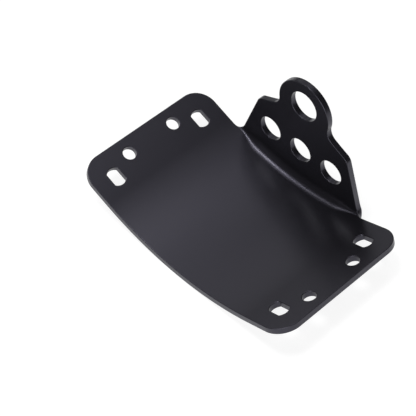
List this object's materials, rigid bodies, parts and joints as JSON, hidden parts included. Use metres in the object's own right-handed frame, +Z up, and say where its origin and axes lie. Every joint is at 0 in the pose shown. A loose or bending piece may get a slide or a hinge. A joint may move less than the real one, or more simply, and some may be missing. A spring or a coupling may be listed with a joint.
{
  "type": "side-mount license plate bracket",
  "caption": "Curved sheet-metal license plate bracket with slotted straight ends and a lobed upright with bolt holes, folded up along its back edge.",
  "frame": {"origin": "under the middle of the whole bracket, at the trough's lowest line", "axes": "+X along the plate, +Y from the plate's front edge to the upright at the back, +Z up"},
  "size_m": [0.1718, 0.1072, 0.0839],
  "materials": {
    "coat": "satin"
  },
  "bodies": {
    "root": {"bracket": "coat"}
  },
  "joints": []
}
